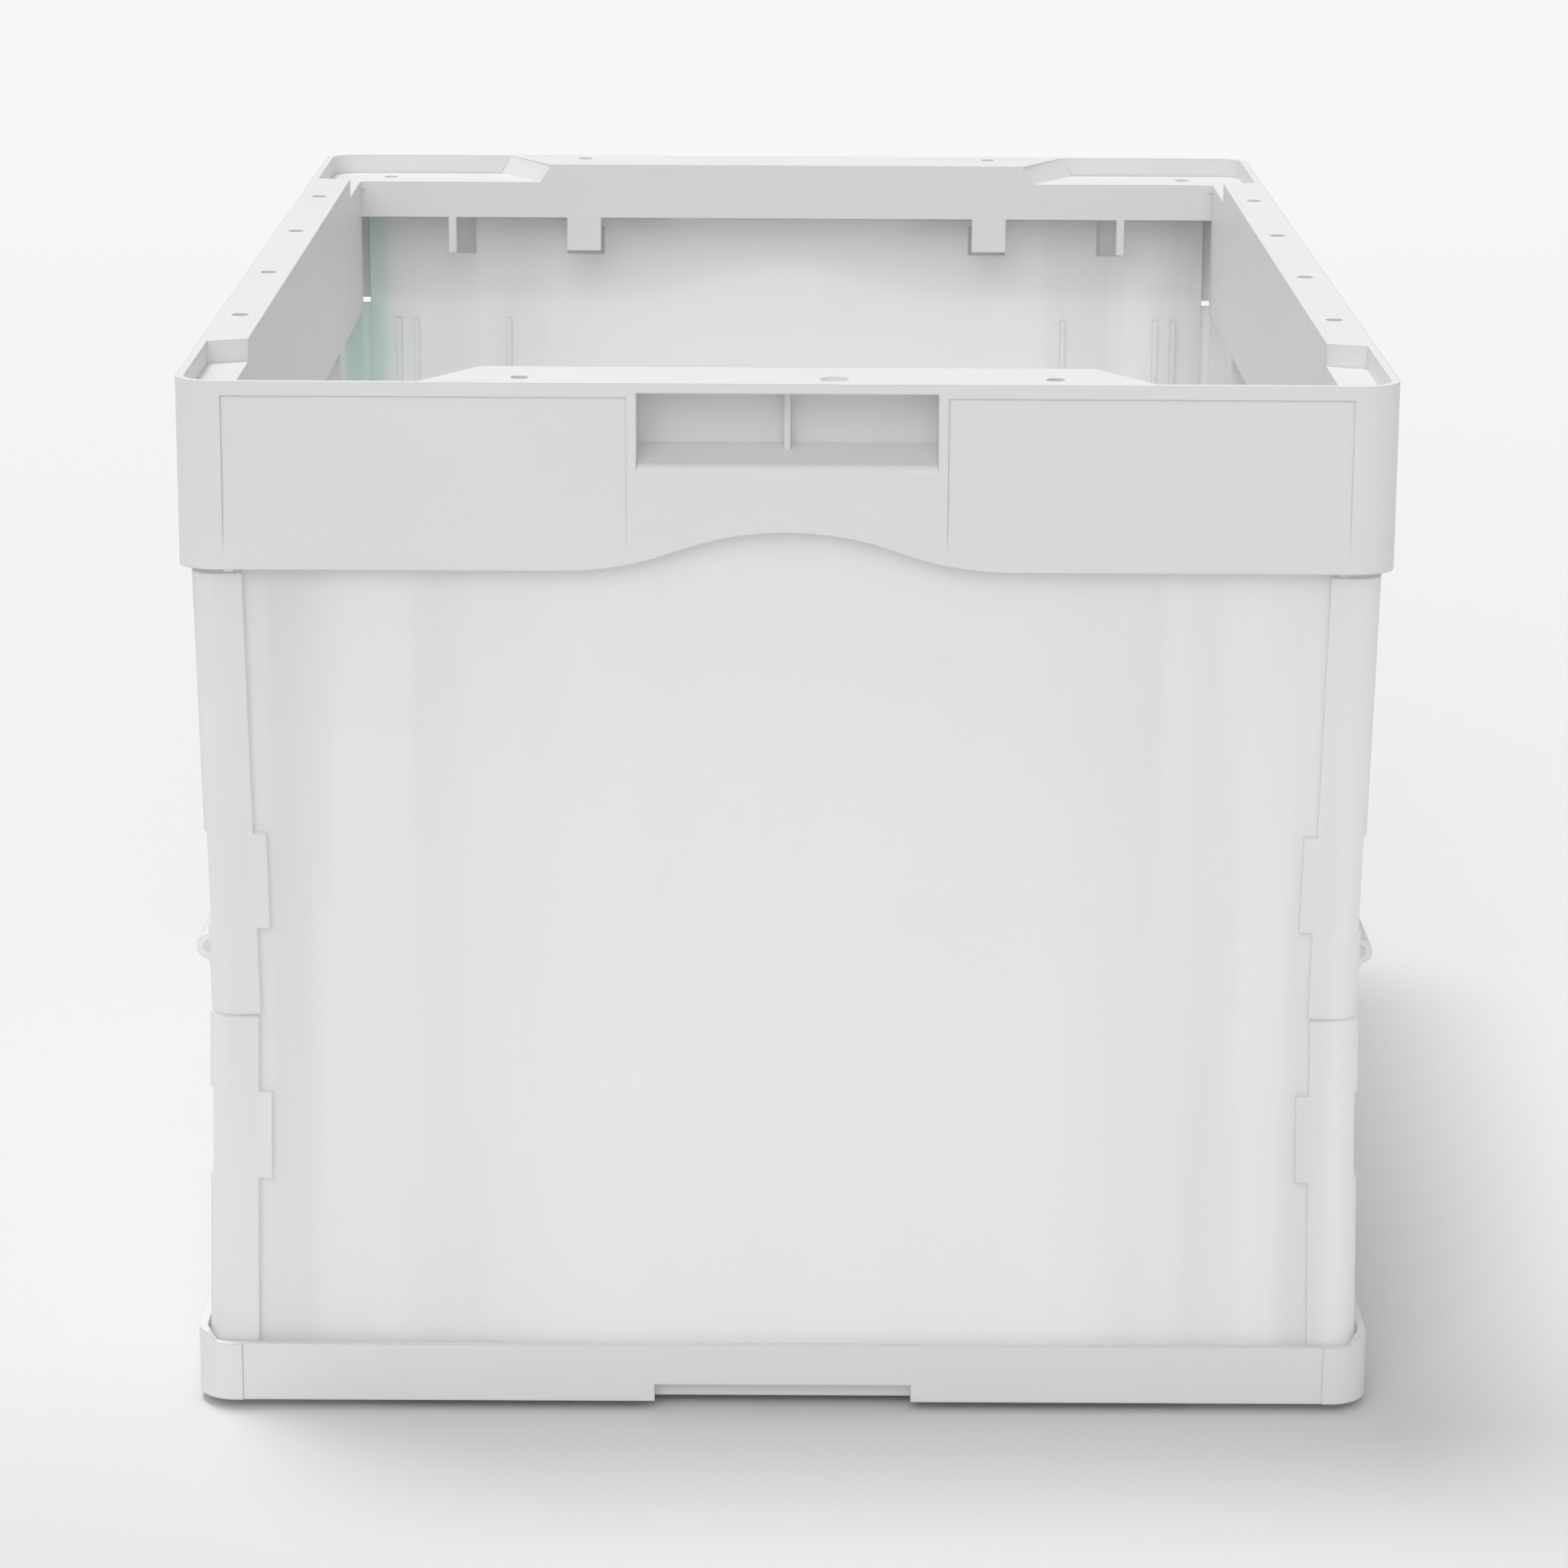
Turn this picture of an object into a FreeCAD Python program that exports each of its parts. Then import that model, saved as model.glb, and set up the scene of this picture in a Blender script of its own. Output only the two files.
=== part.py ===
"""Folding stacking crate: opaque base tray and top frame, translucent folding walls, hinge pins.

Frame: +X to the right, +Y along the length, +Z up, origin at the centre of the footprint on the floor.
Millimetres. The long walls (left, right) fold at mid height; the end walls hang from the top frame.
Parts are drawn on the left and front sides and mirrored to the right and rear.
Cutting solids run 1 mm past the faces they cut; joined solids lap by 0.1 to 0.5 mm.
"""
import FreeCAD, Part
import math
import os

import Sketcher

# ---------------------------------------------------------------- driving dimensions
DIMENSIONS = {
    # whole crate
    "crate_width": 366,
    "crate_length": 530,
    "crate_height": 325,
    "corner_radius": 12,
    "skin": 2.7,
    # top frame
    "skirt_height": 57,
    "side_rim": 15,
    "end_rim": 29.5,
    "opening_radius": 3,
    "rim_block": 10,
    "rim_top": 3,
    "recess_depth": 7,
    "band_thick": 2.5,
    "front_band_z": 293,
    "rear_band_z": 304,
    "inner_skirt_z": 267,
    "side_raised_lip": 193,
    "side_raised_inner": 187,
    "end_raised_lip": 111.5,
    "end_raised_inner": 92.5,
    "rim_ramp": 3.9,
    "arch_half": 67,
    "arch_rise": 12,
    "panel_recess": 0.7,
    "panel_recess_near": 48,
    "panel_recess_far": 168.5,
    "panel_recess_top": 4.3,
    "panel_recess_low": 4,
    "panel_recess_fade": 18,
    "pocket_half": 45,
    "pocket_depth": 19,
    "front_pocket_drop": 25,
    "rear_pocket_drop": 20,
    "pocket_slope": 4,
    "pocket_edge": 3,
    "pocket_rib": 2,
    "pocket_rib_depth": 5.5,
    "rim_hole": 2.7,
    "grip_hole": 4.2,
    "grip_hole_deep": 2,
    # hinges
    "pin_radius": 1.75,
    "pin_play": 0.05,
    "boss_radius": 3.6,
    "tab_width": 13.4,
    "ear_width": 4,
    "ear_gap": 0.6,
    "tab_below_axis": 6,
    "tab_plate": 1.6,
    "tab_lap": 6,
    "stop_below_axis": 7,
    "lug_width": 4,
    "end_ear": 3,
    "hinge_slot": 10.2,
    "slot_head": 4,
    "slot_side": 1.6,
    "slot_side_rise": 1,
    "window_play": 1,
    "stop_bar": 3,
    "stop_slot": 6.5,
    "end_axis_inset": 24,
    "rear_axis_z": 297,
    "front_axis_z": 286,
    "side_axis_inset": 10,
    "top_axis_z": 262,
    "mid_axis_z": 142,
    "bottom_axis_z": 23,
    "knuckle_radius": 4,
    "knuckle_length": 10,
    "knuckle_web": 8,
    "web_start": 1,
    "web_reach": 3.6,
    "web_inset": 0.3,
    "relief_reach": 5,
    # walls
    "wall_inset": 3.7,
    "wall_skin": 2.5,
    "post_flange": 15.8,
    "post_radius": 8,
    "post_width": 25,
    "post_return": 6.8,
    "post_return_at": 8,
    "wall_lean": 1.2,
    "wall_waist": 2.5,
    "seam_z": 127.4,
    "seam_gap": 0.6,
    "tongue": 4,
    "tongue_step": 1.3,
    "wall_foot_z": 12,
    "wall_head_z": 266,
    "end_half": 166.5,
    "end_inset": 6.5,
    "front_head_z": 294,
    "rear_head_z": 301,
    "rib_depth": 2.4,
    "rib_thick": 2,
    "rib_end_gap": 12,
    "rib_over_ledge": 22,
    "edge_rib_depth": 4,
    "ledge_z": 239,
    "ledge_half": 54,
    "ledge_height": 4.4,
    "foot_rib_inset": 8,
    # base
    "base_end_z": 21.5,
    "base_side_z": 24,
    "base_lip_ramp": 2.7,
    "base_lip_run": 3.5,
    "base_skirt_z": 3,
    "floor_top_z": 9,
    "floor_thick": 2.5,
    "foot_size": 46,
    "foot_inset": 10,
    "foot_radius": 6,
    "notch_half": 40,
    "notch_top_z": 8.5,
    "notch_depth": 6,
    "base_recess": 0.5,
}

SIDE_HINGES = (-140, -49, 49, 140)
MID_HINGES = (-220, -140, -49, 49, 140, 220)
END_HINGE = 80
STOP_BAR = 132
END_HOLES = ((80, 10), (157, 15))
GRIP_HOLE = (14, 9)
TONGUES = {"upper": (155, 185), "lower": (75, 103)}
END_RIBS = (-148, -111, 111, 148)
EDGE_RIBS = (-155, 155)
SIDE_RIBS = (-185, -94.5, 0, 94.5, 185)
UNDER_RIBS_X = (-120, -60, 0, 60, 120)
UNDER_RIBS_Y = (-195, -130, -65, 0, 65, 130, 195)

HALF_X = "crate_width / 2"
HALF_Y = "crate_length / 2"
FRAME_LOW = "( crate_height - skirt_height )"
BLOCK_LOW = "( crate_height - rim_block )"
INNER_X = "( crate_width / 2 - side_rim )"
INNER_Y = "( crate_length / 2 - end_rim )"
WALL_X = "( crate_width / 2 - wall_inset )"
WALL_Y = "( crate_length / 2 - wall_inset )"
SIDE_AXIS_X = "( side_axis_inset - crate_width / 2 )"
MID_AXIS_X = "( knuckle_radius - crate_width / 2 )"
END_AXIS_Y = "( end_axis_inset - crate_length / 2 )"
END_SKIN_Y = "( end_inset - crate_length / 2 )"

X, Y, Z = FreeCAD.Vector(1, 0, 0), FreeCAD.Vector(0, 1, 0), FreeCAD.Vector(0, 0, 1)
ALONG = {
    "x": FreeCAD.Rotation(Y, 90),
    "y": FreeCAD.Rotation(X, -90),
    "z": FreeCAD.Rotation(),
}

os.makedirs("parts", exist_ok=True)
doc = FreeCAD.newDocument("folding_crate")
sheet = doc.addObject("Spreadsheet::Sheet", "Dims")
for row, (alias, number) in enumerate(DIMENSIONS.items(), start=1):
    sheet.set(f"A{row}", alias)
    sheet.set(f"B{row}", str(number))
    sheet.setAlias(f"B{row}", alias)
doc.recompute()


# ---------------------------------------------------------------- helpers
def bind(formula):
    """A formula of plain words and numbers, with each word read from the sheet."""
    return " ".join(f"Dims.{word}" if word in DIMENSIONS else word for word in str(formula).split())


def size(obj, **formulas):
    for name, formula in formulas.items():
        obj.setExpression(name, bind(formula))


def place(obj, x, y, z):
    for axis, formula in zip("xyz", (x, y, z)):
        obj.setExpression(f"Placement.Base.{axis}", bind(formula))


def box(x, y, z):
    """A box between two corners, each given as (low, high) formulas along one axis."""
    obj = doc.addObject("Part::Box", "Block")
    spans = [f"( {high} ) - ( {low} )" for low, high in (x, y, z)]
    size(obj, Length=spans[0], Width=spans[1], Height=spans[2])
    place(obj, x[0], y[0], z[0])
    return obj


def around(centre, half):
    """The (low, high) span that reaches half either side of a centre."""
    return f"{centre} - ( {half} )", f"{centre} + ( {half} )"


def rod(axis, radius, start, length):
    """A cylinder along an axis from a start point of formulas."""
    obj = doc.addObject("Part::Cylinder", "Rod")
    size(obj, Radius=radius, Height=length)
    obj.Placement = FreeCAD.Placement(FreeCAD.Vector(), ALONG[axis])
    place(obj, *start)
    return obj


def slab(low_x, high_x, y, z):
    """A block whose X span changes from low_x at the lower z to high_x at the upper z."""
    obj = doc.addObject("Part::Wedge", "Gusset")
    size(
        obj,
        Xmin=low_x[0], Xmax=low_x[1], X2min=high_x[0], X2max=high_x[1],
        Ymin=z[0], Ymax=z[1],
        Zmin=f"0 - ( {y[1]} )", Zmax=f"0 - ( {y[0]} )",
        Z2min=f"0 - ( {y[1]} )", Z2max=f"0 - ( {y[0]} )",
    )
    obj.Placement = FreeCAD.Placement(FreeCAD.Vector(), FreeCAD.Rotation(X, 90))
    return obj


def wedge(x, y, near_z, far_z, near_x=None, far_x=None):
    """A block along Y whose Z span (and X span, if given) changes from the near to the far face."""
    obj = doc.addObject("Part::Wedge", "Wedge")
    near_x = near_x or x
    far_x = far_x or x
    size(
        obj,
        Xmin=near_x[0], Xmax=near_x[1], X2min=far_x[0], X2max=far_x[1],
        Ymin=y[0], Ymax=y[1],
        Zmin=near_z[0], Zmax=near_z[1], Z2min=far_z[0], Z2max=far_z[1],
    )
    return obj


def rounded_prism(half_x, half_y, radius, low, high):
    """An upright block with rounded corners, centred on the crate: a sketch and a pad."""
    body = doc.addObject("PartDesign::Body", "RoundedBody")
    sketch = body.newObject("Sketcher::SketchObject", "RoundedOutline")
    plane = next(f for f in body.Origin.OriginFeatures if f.Role == "XY_Plane")
    sketch.AttachmentSupport = [(plane, "")]
    sketch.MapMode = "FlatFace"
    side, corner = 100, 5
    flat = side - corner
    ends = [(-flat, -side), (flat, -side), (side, -flat), (side, flat),
            (flat, side), (-flat, side), (-side, flat), (-side, -flat)]
    points = [FreeCAD.Vector(px, py, 0) for px, py in ends]
    for start in range(0, 8, 2):
        sketch.addGeometry(Part.LineSegment(points[start], points[start + 1]), False)
    quarter = math.pi / 2
    centres = [(flat, -flat), (flat, flat), (-flat, flat), (-flat, -flat)]
    for turn, (cx, cy) in enumerate(centres):
        circle = Part.Circle(FreeCAD.Vector(cx, cy, 0), Z, corner)
        start = (turn - 1) * quarter
        sketch.addGeometry(Part.ArcOfCircle(circle, start, start + quarter), False)
    for turn in range(4):
        arc = 4 + turn
        sketch.addConstraint(Sketcher.Constraint("Tangent", turn, 2, arc, 1))
        sketch.addConstraint(Sketcher.Constraint("Tangent", arc, 2, (turn + 1) % 4, 1))
        if turn:
            sketch.addConstraint(Sketcher.Constraint("Equal", 4, arc))
    sketch.addConstraint(Sketcher.Constraint("Horizontal", 0))
    sketch.addConstraint(Sketcher.Constraint("Vertical", 1))
    sketch.addConstraint(Sketcher.Constraint("Horizontal", 2))
    sketch.addConstraint(Sketcher.Constraint("Vertical", 3))
    bound = {
        "right": (("DistanceX", -1, 1, 1, 1, side), half_x),
        "left": (("DistanceX", 3, 1, -1, 1, side), half_x),
        "top": (("DistanceY", -1, 1, 2, 1, side), half_y),
        "bottom": (("DistanceY", 0, 1, -1, 1, side), half_y),
        "corner": (("Radius", 4, corner), radius),
    }
    for name, (constraint, formula) in bound.items():
        index = sketch.addConstraint(Sketcher.Constraint(*constraint))
        sketch.renameConstraint(index, name)
        sketch.setExpression(f"Constraints.{name}", bind(formula))
    pad = body.newObject("PartDesign::Pad", "RoundedPad")
    pad.Profile = sketch
    size(pad, Length=f"( {high} ) - ( {low} )")
    sketch.Visibility = False
    place(body, "0", "0", low)
    return body


def fuse(*solids):
    obj = doc.addObject("Part::MultiFuse", "Joined")
    obj.Shapes = list(solids)
    obj.Refine = True
    return obj


def cut(base, *tools):
    obj = doc.addObject("Part::Cut", "Trimmed")
    obj.Base = base
    obj.Tool = tools[0] if len(tools) == 1 else fuse(*tools)
    obj.Refine = True
    return obj


def common(first, second):
    obj = doc.addObject("Part::Common", "Shared")
    obj.Base = first
    obj.Tool = second
    return obj


def mirrored(solid, normal):
    obj = doc.addObject("Part::Mirroring", "Mirrored")
    obj.Source = solid
    obj.Normal = normal
    return obj


def both(solid, normal):
    return fuse(solid, mirrored(solid, normal))


def named(solid, label):
    solid.Label = label
    return solid


# ---------------------------------------------------------------- hinge hardware
EAR_OFFSET = "( tab_width / 2 + ear_gap + ear_width / 2 )"
PIN_HALF = "( tab_width / 2 + ear_gap + ear_width )"
MID_PIN_HALF = "( 1.5 * knuckle_length + 1.5 * ear_gap )"
BORE = "( pin_radius + pin_play )"


def side_bores(axis_z):
    """The pin holes of a long wall's top or bottom hinge, as solids to cut away."""
    return [
        rod("y", BORE, (SIDE_AXIS_X, f"{y} - {PIN_HALF} - 1", axis_z), f"2 * {PIN_HALF} + 2")
        for y in SIDE_HINGES
    ]


def side_pins(axis_z):
    return [
        rod("y", "pin_radius", (SIDE_AXIS_X, f"{y} - {PIN_HALF}", axis_z), f"2 * {PIN_HALF}")
        for y in SIDE_HINGES
    ]


def side_ears(axis_z):
    """The pairs of ears on a long wall that hold the hinge pins, reaching in from the wall's skin."""
    ears = []
    for y in SIDE_HINGES:
        for sign in "-+":
            centre = f"{y} {sign} {EAR_OFFSET}"
            span = around(centre, "ear_width / 2")
            reach = (f"0 - {WALL_X} + wall_skin / 2", SIDE_AXIS_X)
            ears.append(box(reach, span, around(axis_z, "boss_radius")))
            ears.append(rod("y", "boss_radius", (SIDE_AXIS_X, span[0], axis_z), "ear_width"))
    return ears


def end_ear_spans():
    """The X spans of an end panel's two ears at its right-hand hinge, either side of the frame's lug."""
    offset = "( lug_width / 2 + ear_gap + end_ear / 2 )"
    return [around(f"{END_HINGE} {sign} {offset}", "end_ear / 2") for sign in "-+"]


def end_rods(radius, axis_z, over):
    """Rods on an end panel's hinge axis: through both ears and the lug, and past them by a length."""
    first, last = end_ear_spans()
    start = f"{first[0]} - {over}"
    length = f"( {last[1]} ) - ( {first[0]} ) + 2 * {over}"
    return both(rod("x", radius, (start, END_AXIS_Y, axis_z), length), X)


# ---------------------------------------------------------------- top frame
def arch_cutter():
    """The bell-shaped rise in the middle of each end's lower edge: three tangent arcs of one radius."""
    half = DIMENSIONS["arch_half"]
    rise = DIMENSIONS["arch_rise"]
    low = DIMENSIONS["crate_height"] - DIMENSIONS["skirt_height"]
    radius = (half * half + rise * rise) / (4 * rise)
    run = DIMENSIONS["crate_length"] / 2 + 1

    def at(x, z):
        return FreeCAD.Vector(x, -run, low + z)

    def arc_height(x):
        """Height of the bell at a distance x from the middle."""
        x = abs(x)
        if x < half / 2:
            return rise - radius + (radius * radius - x * x) ** 0.5
        return radius - (radius * radius - (half - x) ** 2) ** 0.5

    spans = ((-half, -half / 2), (-half / 2, half / 2), (half / 2, half))
    edges = []
    for start, end in spans:
        middle = (start + end) / 2
        edges.append(Part.Arc(
            at(start, arc_height(start)), at(middle, arc_height(middle)), at(end, arc_height(end))
        ).toShape())
    edges.append(Part.makeLine(at(half, 0), at(half, -1)))
    edges.append(Part.makeLine(at(half, -1), at(-half, -1)))
    edges.append(Part.makeLine(at(-half, -1), at(-half, 0)))
    bell = doc.addObject("Part::Feature", "ArchCutter")
    bell.Shape = Part.Face(Part.Wire(edges)).extrude(FreeCAD.Vector(0, 2 * run, 0))
    return bell


def raised_rims():
    """The full-height middle spans of the rim, between the corner recesses; their ends are slanted."""
    side = doc.addObject("Part::Wedge", "RaisedSide")
    size(
        side,
        Ymin=f"0 - {HALF_X}", Ymax=f"0 - {INNER_X} + 1",
        Xmin="0 - side_raised_lip", Xmax="side_raised_lip",
        X2min="0 - side_raised_inner", X2max="side_raised_inner",
        Zmin="0", Zmax="rim_block + 1", Z2min="0", Z2max="rim_block + 1",
    )
    side.Placement = FreeCAD.Placement(FreeCAD.Vector(), FreeCAD.Rotation(Z, -90))
    side_fix = mirrored(side, X)
    place(side, "0", "0", BLOCK_LOW)
    end = wedge(
        None, (f"0 - {HALF_Y}", f"0 - {INNER_Y} + 1"),
        (BLOCK_LOW, "crate_height + 1"), (BLOCK_LOW, "crate_height + 1"),
        near_x=("0 - end_raised_lip", "end_raised_lip"),
        far_x=("0 - end_raised_inner", "end_raised_inner"),
    )
    return fuse(side, side_fix, both(fuse(end, both(rim_ramp(), X)), Y))


def rim_ramp():
    """The slope from the front rim's raised span down to the right-hand corner recess."""
    ramp = slab(
        ("0 - rim_block", "rim_ramp"), ("0 - rim_block", "0"),
        ("0 - rim_block", "end_rim + 2 * rim_block"), ("crate_height - recess_depth", "crate_height"),
    )
    slant = DIMENSIONS["end_raised_lip"] - DIMENSIONS["end_raised_inner"]
    turn = math.degrees(math.atan2(slant, DIMENSIONS["end_rim"]))
    ramp.Placement = FreeCAD.Placement(
        FreeCAD.Vector(), FreeCAD.Rotation(Z, turn) * FreeCAD.Rotation(X, 90)
    )
    place(ramp, "end_raised_lip", f"0 - {HALF_Y}", "0")
    return ramp


def end_furniture(axis_z, band_z):
    """Band and hinge tabs of the front end."""
    parts = [box(
        (f"0 - {INNER_X} - band_thick", f"{INNER_X} + band_thick"),
        (f"0 - {INNER_Y} - band_thick", f"0 - {INNER_Y}"),
        (band_z, f"{BLOCK_LOW} + 0.5"),
    )]
    back = f"0 - {INNER_Y}"
    blocks = [
        ("tab_width", END_HINGE, f"{back} - tab_plate", "tab_below_axis"),
        ("lug_width", END_HINGE, f"{END_AXIS_Y} - boss_radius", "boss_radius"),
        ("stop_bar", STOP_BAR, f"{END_AXIS_Y} - boss_radius", "stop_below_axis"),
    ]
    for width, x, front, drop in blocks:
        block = box(
            around(x, f"{width} / 2"), (front, back), (f"{axis_z} - ( {drop} )", f"{BLOCK_LOW} + 0.5")
        )
        parts.append(both(block, X))
    return cut(fuse(*parts), end_rods(BORE, axis_z, 1))


def hand_pocket(drop):
    """A front hand pocket as (block, hollow).

    Its floor falls outwards and rolls into the face, and a rib stands on its back wall.
    """
    floor = f"( crate_height - {drop} )"
    ceiling = "crate_height - rim_top"
    block = box(
        around("0", "pocket_half + band_thick"),
        (f"0 - {HALF_Y} + skin / 2", f"0 - {HALF_Y} + pocket_depth + band_thick"),
        (f"{floor} - band_thick", "crate_height - rim_top / 2"),
    )
    hollow = wedge(
        around("0", "pocket_half"),
        (f"0 - {HALF_Y} - 1", f"0 - {HALF_Y} + pocket_depth"),
        (floor, ceiling), (f"{floor} + pocket_slope", ceiling),
    )
    rib = box(
        around("0", "pocket_rib / 2"),
        (f"0 - {HALF_Y} + pocket_depth - pocket_rib_depth", f"0 - {HALF_Y} + pocket_depth + 1"),
        (f"{floor} - 1", ceiling),
    )
    edge_y = f"0 - {HALF_Y} + pocket_edge"
    edge_z = f"{floor} + pocket_slope * pocket_edge / pocket_depth - pocket_edge"
    edge = cut(
        box(around("0", "pocket_half"), (f"0 - {HALF_Y} - 1", edge_y), (edge_z, f"{floor} + 1")),
        rod("x", "pocket_edge", ("0 - pocket_half - 1", edge_y, edge_z), "2 * pocket_half + 2"),
    )
    return block, fuse(cut(hollow, rib), edge)


def face_recesses():
    """Shallow panels in the end's skirt; they run out towards the lower edge."""
    lowest = f"{FRAME_LOW} + panel_recess_low"
    top = "crate_height - panel_recess_top"
    panel = wedge(
        ("panel_recess_near", "panel_recess_far"),
        (f"0 - {HALF_Y}", f"0 - {HALF_Y} + panel_recess"),
        (lowest, top), (f"{lowest} + panel_recess_fade", top),
    )
    return both(panel, X)


def rim_holes():
    low = f"{BLOCK_LOW} - 1"
    length = "rim_block + 2"
    side = [
        rod("z", "rim_hole", (f"{INNER_X} + side_rim / 2", y, low), length) for y in SIDE_HINGES
    ]
    end = [
        rod("z", "rim_hole", (str(x), f"0 - {HALF_Y} + {inset}", low), length) for x, inset in END_HOLES
    ]
    x, inset = GRIP_HOLE
    start = (str(x), f"0 - {HALF_Y} + {inset}", "crate_height - grip_hole_deep")
    grip = rod("z", "grip_hole", start, "grip_hole_deep + 1")
    return [both(fuse(*side), X), both(both(fuse(*end), X), Y), grip]


def top_frame():
    outer = rounded_prism(HALF_X, HALF_Y, "corner_radius", FRAME_LOW, "crate_height")
    hollow = rounded_prism(
        f"{HALF_X} - skin", f"{HALF_Y} - skin", "corner_radius - skin", f"{FRAME_LOW} - 1", BLOCK_LOW
    )
    opening = rounded_prism(
        INNER_X, INNER_Y, "opening_radius", f"{FRAME_LOW} - 1", "crate_height + 1"
    )
    recess = cut(
        rounded_prism(
            f"{HALF_X} - skin", f"{HALF_Y} - skin", "corner_radius - skin",
            "crate_height - recess_depth", "crate_height + 1",
        ),
        raised_rims(),
    )
    under_side = box(
        (f"0 - {HALF_X} + skin", f"0 - {INNER_X} - band_thick"),
        around("0", "side_raised_inner - band_thick"),
        (f"{BLOCK_LOW} - 1", "crate_height - rim_top"),
    )
    under_end = box(
        around("0", "end_raised_inner - band_thick"),
        (f"0 - {HALF_Y} + skin", f"0 - {INNER_Y} - band_thick"),
        (f"{BLOCK_LOW} - 1", "crate_height - rim_top"),
    )
    shell = cut(outer, hollow, opening, recess, both(under_side, X), both(under_end, Y))
    inner_skirt = box(
        (f"0 - {INNER_X} - band_thick", f"0 - {INNER_X}"),
        around("0", f"{INNER_Y} + band_thick"),
        ("inner_skirt_z", f"{BLOCK_LOW} + 0.5"),
    )
    side_tabs = [
        box(
            (f"0 - {WALL_X} + wall_skin + ear_gap", f"0 - {INNER_X}"),
            around(y, "tab_width / 2"),
            ("top_axis_z - tab_below_axis", "inner_skirt_z + tab_lap"),
        )
        for y in SIDE_HINGES
    ]
    side_work = cut(fuse(inner_skirt, *side_tabs), *side_bores("top_axis_z"))
    front = end_furniture("front_axis_z", "front_band_z")
    rear = mirrored(end_furniture("rear_axis_z", "rear_band_z"), Y)
    front_pocket, front_hollow = hand_pocket("front_pocket_drop")
    rear_pocket, rear_hollow = hand_pocket("rear_pocket_drop")
    whole = fuse(shell, both(side_work, X), front, rear, front_pocket, mirrored(rear_pocket, Y))
    hollows = [front_hollow, mirrored(rear_hollow, Y), both(face_recesses(), Y), arch_cutter()]
    return named(cut(whole, *hollows, *rim_holes()), "top_frame")


# ---------------------------------------------------------------- long walls
def wall_ring(low, high):
    """The rounded loop that both long walls and their corner posts are cut from."""
    return cut(
        rounded_prism(WALL_X, WALL_Y, "post_radius", low, high),
        rounded_prism(
            f"{WALL_X} - wall_skin", f"{WALL_Y} - wall_skin", "post_radius - wall_skin",
            f"( {low} ) - 1", f"( {high} ) + 1",
        ),
    )


def leaned(solid, axis_z, sign):
    """A wall half turned about its outer hinge, with its mid-height edge moved inwards by the waist."""
    solid.Placement = FreeCAD.Placement(FreeCAD.Vector(), FreeCAD.Rotation(Y * sign, 1))
    size(solid, **{"Placement.Rotation.Angle": "wall_lean"})
    rest = "( 1 - cos( wall_lean ) )"
    place(
        solid,
        f"{SIDE_AXIS_X} * {rest} - ( {sign} ) * {axis_z} * sin( wall_lean )",
        "0",
        f"{axis_z} * {rest} + ( {sign} ) * {SIDE_AXIS_X} * sin( wall_lean )",
    )
    return solid


def post_details(half, post_z, post_width, inside):
    """What is on the left wall's corner posts: (returns, tongues, steps to cut)."""
    outside = f"0 - {WALL_X}"
    tongue_z = tuple(str(z) for z in TONGUES[half])
    returns = box(
        (f"{inside} - 0.1", f"{inside} + post_return"),
        (f"0 - {WALL_Y} + post_return_at", f"0 - {WALL_Y} + post_return_at + rib_thick"),
        post_z,
    )
    tongues = box(
        (f"{outside} + post_flange - 0.1", f"{outside} + post_flange + tongue"),
        (f"0 - {WALL_Y}", f"0 - {WALL_Y} + wall_skin"),
        tongue_z,
    )
    steps = box(
        (f"{outside} - 1", f"{outside} + tongue_step"),
        (f"0 - {WALL_Y} - 1", f"0 - {WALL_Y} + {post_width}"),
        tongue_z,
    )
    return [both(solid, Y) for solid in (returns, tongues, steps)]


def mid_rods(radius, over):
    """Rods on the left wall's mid hinge axis: one per group of knuckles, run past it by a length."""
    return [
        rod(
            "y", radius,
            (MID_AXIS_X, f"{y} - {MID_PIN_HALF} - {over}", "mid_axis_z"),
            f"2 * {MID_PIN_HALF} + 2 * {over}",
        )
        for y in MID_HINGES
    ]


def knuckle_places(upper):
    """The Y places of one half's mid-hinge knuckles, and of the other half's."""
    pitch = "( knuckle_length + ear_gap )"
    middles = [str(y) for y in MID_HINGES]
    flanks = [f"{y} {sign} {pitch}" for y in MID_HINGES for sign in "-+"]
    return (middles, flanks) if upper else (flanks, middles)


def knuckle(y, upper, skin_x):
    """A mid-hinge knuckle with the web that runs it into the wall's skin."""
    span = around(y, "knuckle_length / 2")
    inner = f"{skin_x[1]} - web_inset"
    wide = (f"{MID_AXIS_X} - web_reach", inner)
    thin = (f"{skin_x[0]} + web_inset", inner)
    if upper:
        web = slab(wide, thin, span, ("mid_axis_z + web_start", "mid_axis_z + knuckle_web"))
    else:
        web = slab(thin, wide, span, ("mid_axis_z - knuckle_web", "mid_axis_z - web_start"))
    return [rod("y", "knuckle_radius", (MID_AXIS_X, span[0], "mid_axis_z"), "knuckle_length"), web]


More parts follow.
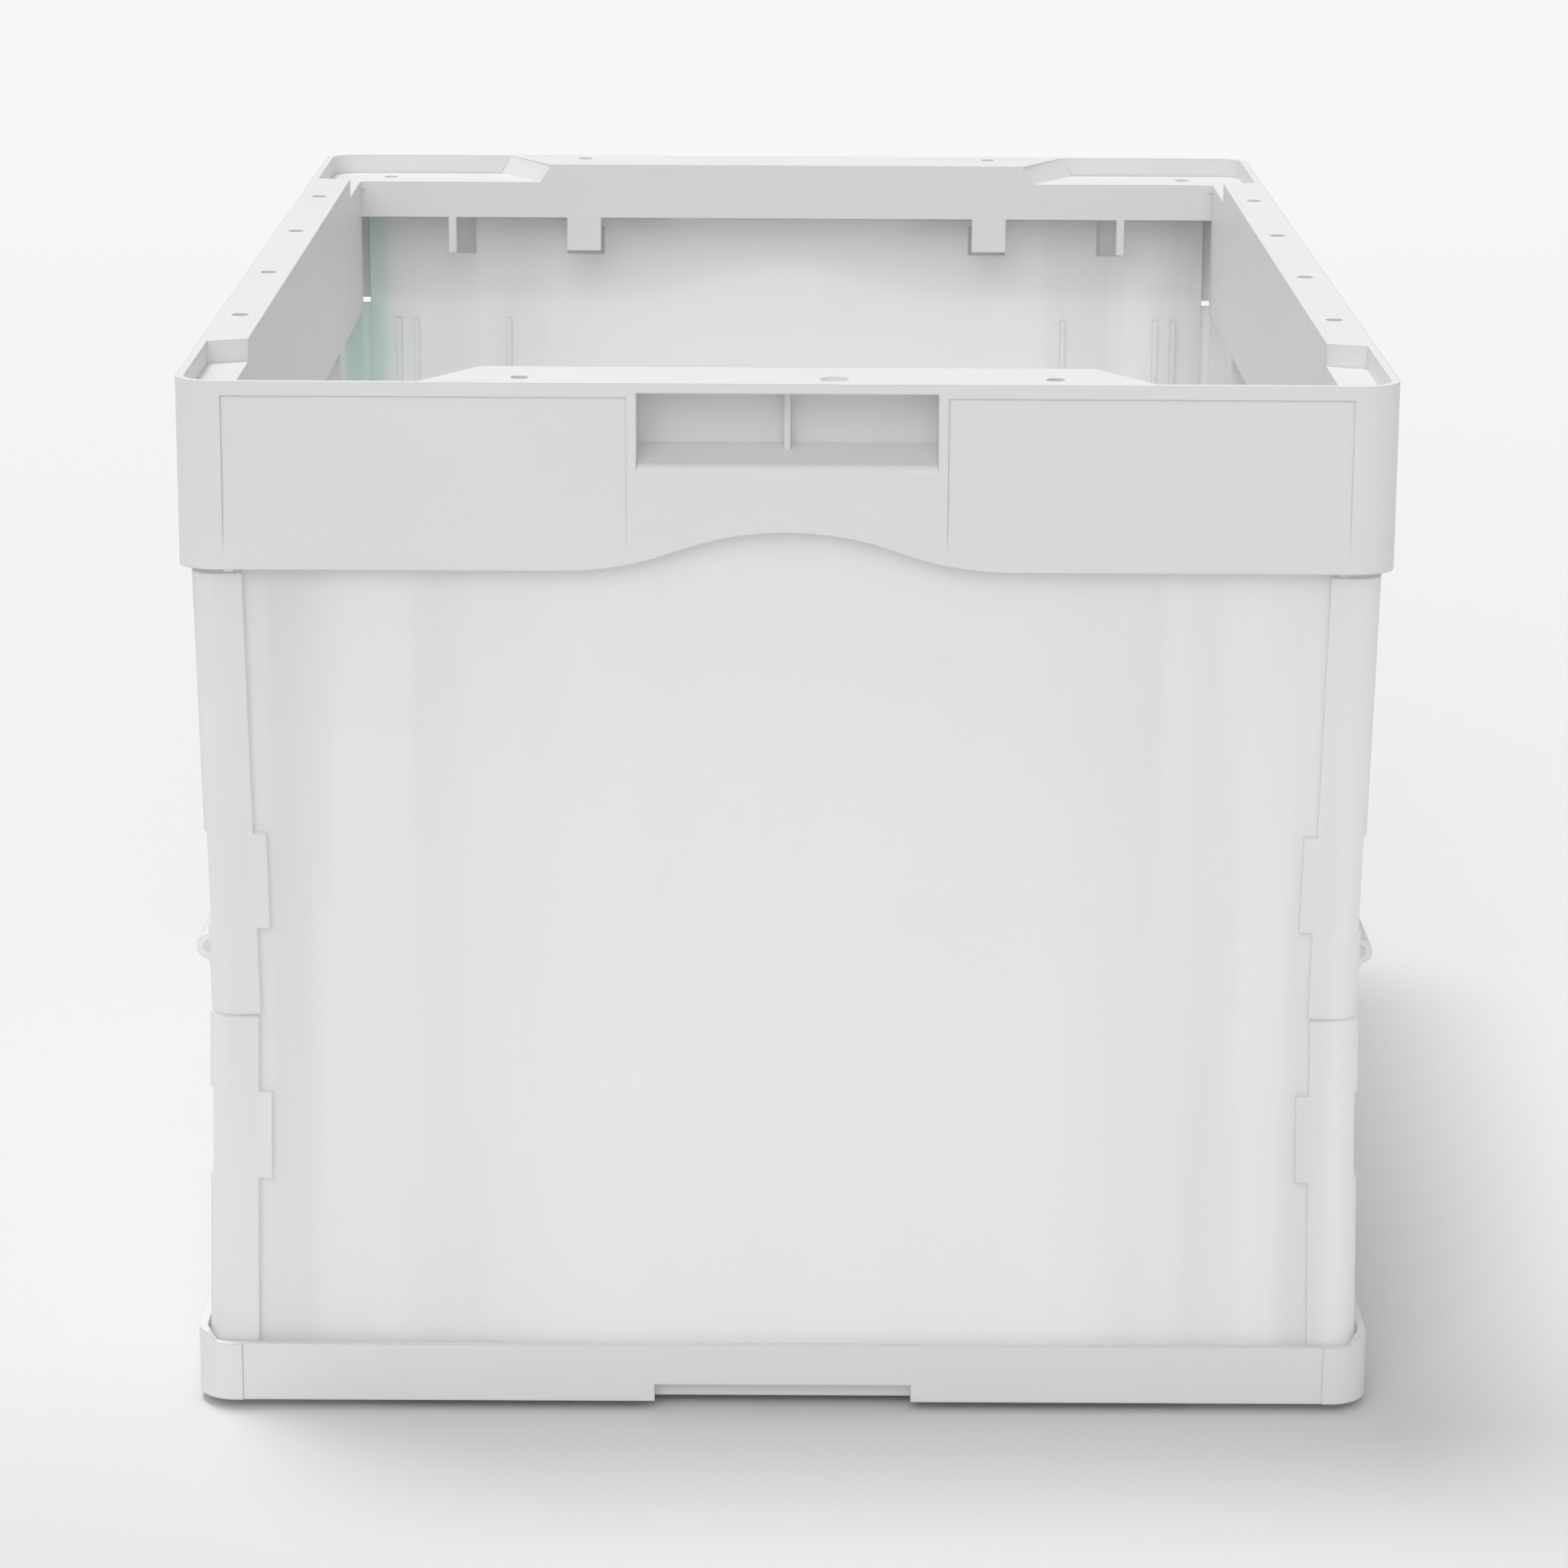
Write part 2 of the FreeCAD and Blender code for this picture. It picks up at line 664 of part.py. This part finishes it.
def side_half(half):
    """One half of the left wall, with its corner posts, hinge knuckles, ears, tongues and ribs."""
    upper = half == "upper"
    outside = f"0 - {WALL_X}"
    inside = f"0 - {WALL_X} + wall_skin"
    mid_skin = (f"{outside} + wall_waist", f"{inside} + wall_waist")
    if upper:
        axis_z = "top_axis_z"
        post = ("seam_z + seam_gap / 2", "wall_head_z")
        sheet_z = ("mid_axis_z + seam_gap / 2", "wall_head_z")
        rib_z = ("mid_axis_z + rib_end_gap", "top_axis_z - rib_end_gap")
        post_width = "post_width"
        low, high = post[0], "wall_head_z"
    else:
        axis_z = "bottom_axis_z"
        post = ("wall_foot_z", "seam_z - seam_gap / 2")
        sheet_z = ("wall_foot_z", "mid_axis_z - seam_gap / 2")
        rib_z = ("bottom_axis_z + rib_end_gap", "mid_axis_z - rib_end_gap")
        post_width = "( post_width + seam_gap )"
        low, high = "wall_foot_z", sheet_z[1]
    post_zone = both(
        box(
            (f"{outside} - 1", f"{outside} + post_flange"),
            (f"0 - {WALL_Y} - 1", f"0 - {WALL_Y} + {post_width}"),
            post,
        ), Y,
    )
    sheet_y = around("0", f"{WALL_Y} - {post_width}")
    sheet_zone = box((f"{outside} - 1", f"{inside} + 1"), sheet_y, sheet_z)
    body = common(wall_ring(low, high), fuse(post_zone, sheet_zone))
    returns, tongues, steps = post_details(half, post, post_width, inside)
    ribs = [
        box((f"{inside} - 0.1", f"{inside} + rib_depth"), around(y, "rib_thick / 2"), rib_z)
        for y in SIDE_RIBS
    ]
    windows = [
        box(
            (f"{outside} - 1", f"{inside} + 0.1"),
            around(y, "tab_width / 2 + ear_gap"),
            around(axis_z, "tab_below_axis + window_play"),
        )
        for y in SIDE_HINGES
    ]
    own, other = knuckle_places(upper)
    reliefs = [
        box(
            (f"{mid_skin[0]} - relief_reach", f"{mid_skin[1]} + 1"),
            around(y, "knuckle_length / 2 + ear_gap"),
            around("mid_axis_z", "knuckle_radius + ear_gap"),
        )
        for y in other
    ]
    wall = fuse(cut(body, steps, *windows), returns, tongues, *ribs, *side_ears(axis_z))
    wall = leaned(wall, axis_z, -1 if upper else 1)
    knuckles = [solid for y in own for solid in knuckle(y, upper, mid_skin)]
    solid = fuse(cut(wall, *reliefs), *knuckles)
    return named(cut(solid, *mid_rods(BORE, 1), *side_bores(axis_z)), f"left_{half}_side_panel")


# ---------------------------------------------------------------- end walls
def end_panel(axis_z, head_z):
    """An end wall, drawn at the front.

    It has a flat skin, ears that carry the pins, slots round the frame's tabs, and ribs on the inside.
    """
    inner = f"( {END_SKIN_Y} + wall_skin )"
    skin = box(around("0", "end_half"), (END_SKIN_Y, inner), ("wall_foot_z", head_z))
    slot_low = f"{axis_z} - hinge_slot"
    stop = (f"{STOP_BAR} - stop_bar / 2 - stop_slot", f"{STOP_BAR} + stop_bar / 2")
    side_slot = "tab_width / 2 + ear_gap"
    slots = [(stop, (slot_low, f"{axis_z} + slot_head"))]
    slots.append((around(END_HINGE, side_slot), (slot_low, f"{axis_z} - slot_head")))
    for sign in "-+":
        middle = f"{END_HINGE} {sign} ( {side_slot} - slot_side / 2 )"
        slots.append((around(middle, "slot_side / 2"), (slot_low, f"{axis_z} + slot_side_rise")))
    windows = [both(box(x, (f"{END_SKIN_Y} - 1", f"{inner} + 1"), z), X) for x, z in slots]
    ears = []
    for span in end_ear_spans():
        arm = box(span, (f"{inner} - 0.2", END_AXIS_Y), around(axis_z, "boss_radius"))
        boss = rod("x", "boss_radius", (span[0], END_AXIS_Y, axis_z), "end_ear")
        ears.append(both(fuse(arm, boss), X))
    rib_y = (f"{inner} - 0.1", f"{inner} + rib_depth")
    rib_z = ("wall_foot_z + rib_end_gap", "ledge_z + rib_over_ledge")
    edge_rib_y = (rib_y[0], f"{inner} + edge_rib_depth")
    ribs = [box(around(x, "rib_thick / 2"), rib_y, rib_z) for x in END_RIBS]
    ribs += [box(around(x, "rib_thick / 2"), edge_rib_y, rib_z) for x in EDGE_RIBS]
    ledge = box(around("0", "ledge_half"), rib_y, around("ledge_z", "ledge_height / 2"))
    foot_z = ("wall_foot_z + 2 * rib_thick", "wall_foot_z + 3 * rib_thick")
    foot = box(around("0", "end_half - foot_rib_inset"), rib_y, foot_z)
    solid = fuse(cut(skin, *windows), *ears, *ribs, ledge, foot)
    return cut(solid, end_rods(BORE, axis_z, 1))


# ---------------------------------------------------------------- base tray
def base_tray():
    outer = rounded_prism(HALF_X, HALF_Y, "corner_radius", "base_skirt_z", "base_side_z")
    inside = rounded_prism(
        f"{HALF_X} - skin", f"{HALF_Y} - skin", "corner_radius - skin",
        "floor_top_z", "base_side_z + 1",
    )
    under = rounded_prism(
        f"{HALF_X} - skin", f"{HALF_Y} - skin", "corner_radius - skin",
        "base_skirt_z - 1", "floor_top_z - floor_thick",
    )
    lip_x = f"{HALF_X} - base_lip_ramp"
    step = both(slab(
        around("0", f"{lip_x} - base_lip_run"), around("0", lip_x),
        (f"0 - {HALF_Y} - 1", f"0 - {HALF_Y} + corner_radius"), ("base_end_z", "base_side_z + 1"),
    ), Y)
    shell = cut(outer, inside, under, step)
    rib_z = ("base_skirt_z + 1", "floor_top_z - floor_thick + 0.1")
    ribs = [
        box(around(x, "rib_thick / 2"), around("0", f"{HALF_Y} - skin / 2"), rib_z)
        for x in UNDER_RIBS_X
    ]
    ribs += [
        box(around("0", f"{HALF_X} - skin / 2"), around(y, "rib_thick / 2"), rib_z)
        for y in UNDER_RIBS_Y
    ]
    foot_span = "( foot_inset + foot_size )"
    foot_z = ("0 - 1", "floor_top_z")
    foot = cut(
        rounded_prism(
            f"{HALF_X} - foot_inset", f"{HALF_Y} - foot_inset", "foot_radius",
            "0", "floor_top_z - floor_thick + 0.1",
        ),
        box(around("0", f"{HALF_X} - {foot_span}"), around("0", HALF_Y), foot_z),
        box(around("0", HALF_X), around("0", f"{HALF_Y} - {foot_span}"), foot_z),
    )
    notch_wall = both(box(
        around("0", "notch_half + skin"),
        (f"0 - {HALF_Y} + base_recess", f"0 - {HALF_Y} + notch_depth + skin"),
        ("base_skirt_z", "floor_top_z - 0.1"),
    ), Y)
    notch = both(box(
        around("0", "notch_half"),
        (f"0 - {HALF_Y} - 1", f"0 - {HALF_Y} + notch_depth"),
        ("base_skirt_z - 1", "notch_top_z"),
    ), Y)
    face = both(box(
        around("0", "panel_recess_far"),
        (f"0 - {HALF_Y} - 1", f"0 - {HALF_Y} + base_recess"),
        ("base_skirt_z - 1", "base_side_z + 1"),
    ), Y)
    tabs = [
        box(
            (f"0 - {WALL_X} + wall_skin + ear_gap", f"{SIDE_AXIS_X} + boss_radius"),
            around(y, "tab_width / 2"),
            ("floor_top_z - 0.1", "bottom_axis_z + boss_radius"),
        )
        for y in SIDE_HINGES
    ]
    bored_tabs = both(cut(fuse(*tabs), *side_bores("bottom_axis_z")), X)
    return named(
        cut(fuse(shell, *ribs, foot, notch_wall, bored_tabs), notch, face), "base_tray"
    )


# ---------------------------------------------------------------- the crate
nodes = [base_tray(), top_frame()]
left_side = [
    side_half("upper"),
    side_half("lower"),
    named(fuse(*side_pins("top_axis_z")), "left_top_hinge_pins"),
    named(fuse(*mid_rods("pin_radius", 0)), "left_mid_hinge_pins"),
    named(fuse(*side_pins("bottom_axis_z")), "left_bottom_hinge_pins"),
]
nodes += left_side
nodes += [named(mirrored(node, X), node.Label.replace("left", "right")) for node in left_side]
nodes += [
    named(end_panel("front_axis_z", "front_head_z"), "front_end_panel"),
    named(end_rods("pin_radius", "front_axis_z", 0), "front_end_hinge_pins"),
    named(mirrored(end_panel("rear_axis_z", "rear_head_z"), Y), "rear_end_panel"),
    named(mirrored(end_rods("pin_radius", "rear_axis_z", 0), Y), "rear_end_hinge_pins"),
]
doc.recompute()

# ---------------------------------------------------------------- checks and files
for obj in doc.Objects:
    if {"Invalid", "Error"} & set(obj.State):
        raise RuntimeError(f"{obj.Name} ({obj.Label}) failed: {obj.State}")
for node in nodes:
    shape = node.Shape
    if shape.isNull() or not shape.isValid():
        raise RuntimeError(f"{node.Label} has no valid shape")
    print(f"{node.Label}: {len(shape.Solids)} solids, {shape.Volume / 1000:.1f} cm3, {shape.BoundBox}")
    shape.exportStep(f"parts/{node.Label}.step")
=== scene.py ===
import math

import bpy
from mathutils import Matrix, Vector


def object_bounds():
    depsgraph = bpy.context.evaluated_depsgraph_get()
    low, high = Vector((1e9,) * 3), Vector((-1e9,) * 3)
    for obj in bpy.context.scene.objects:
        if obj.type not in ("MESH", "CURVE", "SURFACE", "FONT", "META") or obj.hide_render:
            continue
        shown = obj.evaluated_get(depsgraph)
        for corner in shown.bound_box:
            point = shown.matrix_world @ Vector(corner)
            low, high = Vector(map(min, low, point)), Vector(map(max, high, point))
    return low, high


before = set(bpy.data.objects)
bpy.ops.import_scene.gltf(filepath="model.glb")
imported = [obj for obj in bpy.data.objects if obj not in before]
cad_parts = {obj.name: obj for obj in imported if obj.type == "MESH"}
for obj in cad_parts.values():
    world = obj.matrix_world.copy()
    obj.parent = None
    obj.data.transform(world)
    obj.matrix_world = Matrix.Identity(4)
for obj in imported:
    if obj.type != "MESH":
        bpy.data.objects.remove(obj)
cad_low, cad_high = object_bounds()
scene = bpy.context.scene

# Camera, in metres, degrees and millimetres: a long lens in front of the short end, a little above the rim.
CAMERA_AT = (-0.0023, -1.7186, 0.5780)
CAMERA_PITCH = 14.48
CAMERA_YAW = 0.071
CAMERA_ROLL = 0.288
CAMERA_LENS = 113.92
CAMERA_SENSOR = 36.0

# Light.
AMBIENT = 0.56
WHITE_LIGHT = (1.0, 1.0, 1.0, 1.0)

# Linear colours of the plastics.
WHITE_PP = (0.778, 0.778, 0.775, 1.0)
WHITE_PP_DULL = (0.735, 0.734, 0.728, 1.0)
WORN_EDGE = (0.90, 0.90, 0.895, 1.0)
MILKY_SKIN = (0.975, 0.976, 0.975, 1.0)
MILKY_SKIN_DULL = (0.955, 0.957, 0.953, 1.0)
PAINTED_SHADE_STREAK = (0.872, 0.878, 0.874, 1.0)
MILKY_THROUGH = (0.975, 0.978, 0.976, 1.0)
MILKY_THROUGH_DEEP = (0.965, 0.970, 0.967, 1.0)
PAINTED_GREEN_LIGHT = (0.838, 0.918, 0.885, 1.0)
MILKY_CLEAR = (0.97, 0.975, 0.972, 1.0)
ACETAL = (0.780, 0.780, 0.770, 1.0)
ACETAL_DULL = (0.72, 0.72, 0.705, 1.0)
PP_IOR = 1.49
ACETAL_IOR = 1.48

# The moulded surface: lengths in metres, noise scales in cycles per metre.
EDGE_RADIUS = 0.0006
EDGE_SAMPLES = 4
GRAIN_SCALE = 1500.0
GRAIN_DEPTH = 0.00006
GRAIN_STRENGTH = 0.35
SINK_SCALE = 16.0
SINK_DEPTH = 0.0010
SINK_STRENGTH = 0.25
MOTTLE_SCALE = 70.0
SOIL_SCALE = 9.0
SOIL_SHARE = 0.55
LEVEL_SCUFF_SCALE = 38.0
LEVEL_SCUFF_STRETCH = (1.0, 1.0, 14.0)
UPRIGHT_SCUFF_SCALE = 30.0
UPRIGHT_SCUFF_STRETCH = (14.0, 1.0, 1.0)
SCUFF_SHARE = 0.45
SCUFF_ROUGHENS = 0.10
WEAR_SHARE = 0.35
WEAR_POLISHES = 0.08
SMOOTHEST = 0.40
ROUGHEST = 0.52

# The milky walls: how much light they scatter through and let straight through, and their painted shade
# streaks, which stand in for the shade of inner shapes seen through the walls and grow stronger from
# STREAKS_FROM to STREAKS_FULL on either side of the middle.
SCATTERED_SHARE = 0.36
CLEAR_SHARE = 0.10
MILKY_GRAIN = 0.8
CLOUDING_SCALE = 6.0
STREAK_SCALE = 34.0
STREAK_STRETCH = (1.0, 0.6, 0.05)
STREAKS_FROM = 0.07
STREAKS_FULL = 0.13
STREAKS_LEAST = 0.1

# Painted light and shade: the milky plastic has a green-grey tint at the rear left corner, inside and out,
# standing in for light seen through thick plastic on edge in the shaded corner gap. Measured from the crate's
# left side and from its rear, the tint grows from nothing at FROM to full strength at FULL.
GREEN_FROM_SIDE = 0.0255
GREEN_FULL_SIDE = 0.0210
GREEN_FROM_REAR = 0.060
GREEN_FULL_REAR = 0.040

# The pins.
LINE_SCALE = 400.0
LINE_STRETCH = (1.0, 0.02, 1.0)
LINE_DEPTH = 0.00005
LINE_STRENGTH = 0.4
ACETAL_MOTTLE_SCALE = 60.0
PIN_SMOOTHEST = 0.25
PIN_ROUGHEST = 0.40

# The floor: painted shade makes it greyer in front of the crate; it is paler beside it and palest far behind.
FLOOR_HALF = 14.0
FLOOR_FRONT_SHADE = (0.610, 0.610, 0.610, 1.0)
FLOOR_NEAR = (0.735, 0.735, 0.735, 1.0)
FLOOR_FAR = (0.800, 0.800, 0.800, 1.0)
FLOOR_EDGE_Y = -0.60
FLOOR_NEAR_Y = -0.20
FLOOR_FAR_Y = 3.0
FLOOR_ROUGHNESS = 0.85
FLOOR_SPECULAR = 0.15


class Graph:
    """Builds one material's node tree a node at a time."""

    def __init__(self, name):
        self.material = bpy.data.materials.new(name)
        self.material.use_nodes = True
        self.tree = self.material.node_tree
        self.tree.nodes.clear()

    def feed(self, socket, value):
        """Gives a socket a number, a colour or the output of another node."""
        if isinstance(value, bpy.types.NodeSocket):
            self.tree.links.new(value, socket)
        else:
            socket.default_value = value

    def add(self, kind, settings=None, **inputs):
        """A node of that kind, with its inputs by name."""
        made = self.tree.nodes.new("ShaderNode" + kind)
        for key, value in (settings or {}).items():
            setattr(made, key, value)
        for key, value in inputs.items():
            self.feed(made.inputs[key.replace("_", " ")], value)
        return made

    def position(self):
        """The point on the object, in metres from the crate's origin, before any joint moves it."""
        return self.add("TexCoord").outputs["Object"]

    def noise(self, scale, detail=3.0, roughness=0.55, stretch=None):
        """Noise over the object, from 0 to 1. A number over 1 in stretch packs it closer along that axis."""
        at = self.position()
        if stretch:
            at = self.add("Mapping", Vector=at, Scale=stretch).outputs["Vector"]
        made = self.add("TexNoise", Vector=at, Scale=scale, Detail=detail, Roughness=roughness)
        return made.outputs["Fac"]

    def spread(self, value, low, high, to_low=0.0, to_high=1.0):
        """Value mapped from low..high to to_low..to_high, and kept inside them."""
        made = self.add("MapRange", {"clamp": True}, Value=value, From_Min=low, From_Max=high,
                        To_Min=to_low, To_Max=to_high)
        return made.outputs["Result"]

    def math(self, operation, *values):
        made = self.add("Math", {"operation": operation})
        for socket, value in zip(made.inputs, values):
            self.feed(socket, value)
        return made.outputs[0]

    def blend(self, factor, first, second):
        """A colour between first and second."""
        made = self.add("Mix", {"data_type": "RGBA"})
        colours = [socket for socket in made.inputs if socket.type == "RGBA"]
        self.feed(made.inputs[0], factor)
        self.feed(colours[0], first)
        self.feed(colours[1], second)
        return next(socket for socket in made.outputs if socket.type == "RGBA")

    def bump(self, height, distance, strength, normal=None):
        made = self.add("Bump", Height=height, Distance=distance, Strength=strength)
        if normal is not None:
            self.feed(made.inputs["Normal"], normal)
        return made.outputs["Normal"]

    def mix(self, share, first, second):
        """A shader that is first, with that share of second."""
        made = self.add("MixShader", Fac=share)
        self.feed(made.inputs[1], first.outputs[0])
        self.feed(made.inputs[2], second.outputs[0])
        return made

    def finish(self, shader):
        """The material, once shader is its surface."""
        output = self.add("OutputMaterial")
        self.feed(output.inputs["Surface"], shader.outputs[0])
        return self.material


def edge_wear(graph, rounded, mottled):
    """1 on worn edges, where the rounded normal turns away from the flat one, and 0 on flat faces."""
    flat = graph.add("NewGeometry").outputs["Normal"]
    agreement = graph.add("VectorMath", {"operation": "DOT_PRODUCT"})
    graph.feed(agreement.inputs[0], rounded)
    graph.feed(agreement.inputs[1], flat)
    edge = graph.spread(agreement.outputs["Value"], low=0.985, high=0.86)
    return graph.math("MULTIPLY", edge, graph.spread(mottled, low=0.42, high=0.62, to_low=0.15))


def scuff_marks(graph):
    """1 in the level and the upright scuffs."""
    level = graph.noise(LEVEL_SCUFF_SCALE, detail=6.0, roughness=0.7, stretch=LEVEL_SCUFF_STRETCH)
    upright = graph.noise(UPRIGHT_SCUFF_SCALE, detail=6.0, roughness=0.7, stretch=UPRIGHT_SCUFF_STRETCH)
    return graph.math("MAXIMUM", graph.spread(level, low=0.60, high=0.78),
                      graph.spread(upright, low=0.62, high=0.80))


def moulded_surface(graph, clean, dull, grain):
    """Colour, roughness and normal of moulded plastic. grain scales the depth of its eroded grain.

    Soil and scuffs take the colour from clean to dull, and worn edges are paler and smoother.
    """
    mottled = graph.noise(MOTTLE_SCALE, detail=5.0, roughness=0.65)
    rounded = graph.add("Bevel", {"samples": EDGE_SAMPLES}, Radius=EDGE_RADIUS).outputs["Normal"]
    wear = edge_wear(graph, rounded, mottled)
    scuffed = scuff_marks(graph)
    soil = graph.spread(graph.noise(SOIL_SCALE, detail=4.0, roughness=0.6), low=0.35, high=0.70,
                        to_high=SOIL_SHARE)
    tone = graph.math("MAXIMUM", soil, graph.math("MULTIPLY", scuffed, SCUFF_SHARE))
    colour = graph.blend(tone, clean, dull)
    colour = graph.blend(graph.math("MULTIPLY", wear, WEAR_SHARE), colour, WORN_EDGE)
    rough = graph.spread(mottled, low=0.3, high=0.7, to_low=SMOOTHEST, to_high=ROUGHEST)
    rough = graph.math("ADD", rough, graph.math("MULTIPLY", scuffed, SCUFF_ROUGHENS))
    rough = graph.math("SUBTRACT", rough, graph.math("MULTIPLY", wear, WEAR_POLISHES))
    fine = graph.noise(GRAIN_SCALE, detail=2.0, roughness=0.5)
    sink = graph.noise(SINK_SCALE, detail=1.0, roughness=0.4)
    normal = graph.bump(fine, GRAIN_DEPTH * grain, GRAIN_STRENGTH, rounded)
    normal = graph.bump(sink, SINK_DEPTH, SINK_STRENGTH, normal)
    return colour, rough, normal


def opaque_polypropylene():
    graph = Graph("opaque_polypropylene")
    colour, rough, normal = moulded_surface(graph, WHITE_PP, WHITE_PP_DULL, grain=1.0)
    return graph.finish(graph.add("BsdfPrincipled", Base_Color=colour, Roughness=rough, Normal=normal,
                                  IOR=PP_IOR))


def milky_polypropylene():
    """A pale skin over plastic that scatters light through, with painted shade streaks towards the sides and
    a painted green-grey tint of light at one corner.
    """
    graph = Graph("milky_polypropylene")
    colour, rough, normal = moulded_surface(graph, MILKY_SKIN, MILKY_SKIN_DULL, grain=MILKY_GRAIN)
    place = graph.add("SeparateXYZ", Vector=graph.position())
    # Painted shade: darker streaks towards the sides, standing in for the shade of inner shapes seen through
    # the walls.
    shade_toward_sides = graph.spread(graph.math("ABSOLUTE", place.outputs["X"]), low=STREAKS_FROM, high=STREAKS_FULL,
                         to_low=STREAKS_LEAST)
    shade_streaks = graph.spread(graph.noise(STREAK_SCALE, roughness=0.5, stretch=STREAK_STRETCH),
                        low=0.42, high=0.62)
    colour = graph.blend(graph.math("MULTIPLY", shade_toward_sides, shade_streaks), colour, PAINTED_SHADE_STREAK)
    clouding = graph.spread(graph.noise(CLOUDING_SCALE, detail=2.0), low=0.35, high=0.65)
    through = graph.blend(clouding, MILKY_THROUGH, MILKY_THROUGH_DEEP)
    # Painted light and shade: a green-grey tint at the rear left corner, for light seen through thick plastic
    # on edge in the shaded corner gap.
    left = graph.spread(place.outputs["X"], low=cad_low[0] + GREEN_FROM_SIDE,
                        high=cad_low[0] + GREEN_FULL_SIDE)
    rear = graph.spread(place.outputs["Y"], low=cad_high[1] - GREEN_FROM_REAR,
                        high=cad_high[1] - GREEN_FULL_REAR)
    corner = graph.math("MULTIPLY", left, rear)
    colour = graph.blend(corner, colour, PAINTED_GREEN_LIGHT)
    through = graph.blend(corner, through, PAINTED_GREEN_LIGHT)
    skin = graph.add("BsdfPrincipled", Base_Color=colour, Roughness=rough, Normal=normal, IOR=PP_IOR)
    scattered = graph.add("BsdfTranslucent", Color=through, Normal=normal)
    clear = graph.add("BsdfTransparent", Color=MILKY_CLEAR)
    return graph.finish(graph.mix(CLEAR_SHARE, graph.mix(SCATTERED_SHARE, skin, scattered), clear))


def turned_acetal():
    """The pins' plastic, with faint lines along Y. The side pins lie that way, the end pins lie across it."""
    graph = Graph("turned_acetal")
    lines = graph.noise(LINE_SCALE, detail=2.0, roughness=0.5, stretch=LINE_STRETCH)
    colour = graph.blend(graph.noise(ACETAL_MOTTLE_SCALE), ACETAL, ACETAL_DULL)
    rough = graph.spread(lines, low=0.3, high=0.7, to_low=PIN_SMOOTHEST, to_high=PIN_ROUGHEST)
    normal = graph.bump(lines, LINE_DEPTH, LINE_STRENGTH)
    return graph.finish(graph.add("BsdfPrincipled", Base_Color=colour, Roughness=rough, Normal=normal,
                                  IOR=ACETAL_IOR))


def studio_floor():
    graph = Graph("studio_floor")
    along = graph.add("SeparateXYZ", Vector=graph.position()).outputs["Y"]
    colour = graph.blend(graph.spread(along, low=FLOOR_NEAR_Y, high=FLOOR_FAR_Y), FLOOR_NEAR, FLOOR_FAR)
    # Painted shade: the floor darkens towards the front, in front of the crate.
    colour = graph.blend(graph.spread(along, low=FLOOR_EDGE_Y, high=FLOOR_NEAR_Y), FLOOR_FRONT_SHADE, colour)
    shader = graph.add("BsdfPrincipled", Base_Color=colour, Roughness=FLOOR_ROUGHNESS,
                       Specular_IOR_Level=FLOOR_SPECULAR)
    return graph.finish(shader)


# Every CAD node keeps its mesh and takes the finish of its slot.
FINISHES = {
    "opaque_white": opaque_polypropylene(),
    "milky_clear": milky_polypropylene(),
    "pin_white": turned_acetal(),
}
for mesh_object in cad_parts.values():
    for slot in mesh_object.material_slots:
        slot_name = slot.material.name
        slot.link = "OBJECT"
        slot.material = FINISHES[slot_name]

floor_mesh = bpy.data.meshes.new("floor")
floor_mesh.from_pydata([(-FLOOR_HALF, -FLOOR_HALF, 0), (FLOOR_HALF, -FLOOR_HALF, 0),
                        (FLOOR_HALF, FLOOR_HALF, 0), (-FLOOR_HALF, FLOOR_HALF, 0)], [], [(0, 1, 2, 3)])
floor_mesh.materials.append(studio_floor())
floor = bpy.data.objects.new("floor", floor_mesh)
scene.collection.objects.link(floor)


def soft_sun(name, toward, strength, spread):
    """Even light from a distant soft box.

    toward points from the object to the box, and spread is the box's width in degrees.
    """
    data = bpy.data.lights.new(name, "SUN")
    data.energy = strength
    data.angle = math.radians(spread)
    made = bpy.data.objects.new(name, data)
    made.rotation_euler = Vector(toward).to_track_quat("Z", "Y").to_euler()
    scene.collection.objects.link(made)


# An overhead box a little to the left and behind, and a broad one in front on the left.
soft_sun("overhead", toward=(-0.19, 0.20, 1.0), strength=1.56, spread=19.0)
soft_sun("front", toward=(-0.14, -0.84, 0.52), strength=0.88, spread=44.0)

world = bpy.data.worlds.new("studio")
world.use_nodes = True
background = world.node_tree.nodes["Background"]
background.inputs["Color"].default_value = WHITE_LIGHT
background.inputs["Strength"].default_value = AMBIENT
scene.world = world

# Enough bounces for the light to fill the milky box.
scene.cycles.max_bounces = 16
scene.cycles.diffuse_bounces = 10
scene.cycles.transmission_bounces = 12

camera_data = bpy.data.cameras.new("camera")
camera_data.lens = CAMERA_LENS
camera_data.sensor_width = CAMERA_SENSOR
camera = bpy.data.objects.new("camera", camera_data)
turn = (Matrix.Rotation(math.radians(-CAMERA_YAW), 4, "Z")
        @ Matrix.Rotation(math.radians(90.0 - CAMERA_PITCH), 4, "X")
        @ Matrix.Rotation(math.radians(CAMERA_ROLL), 4, "Z"))
camera.matrix_world = Matrix.Translation(CAMERA_AT) @ turn
scene.collection.objects.link(camera)
scene.camera = camera
scene.view_settings.view_transform = "Standard"
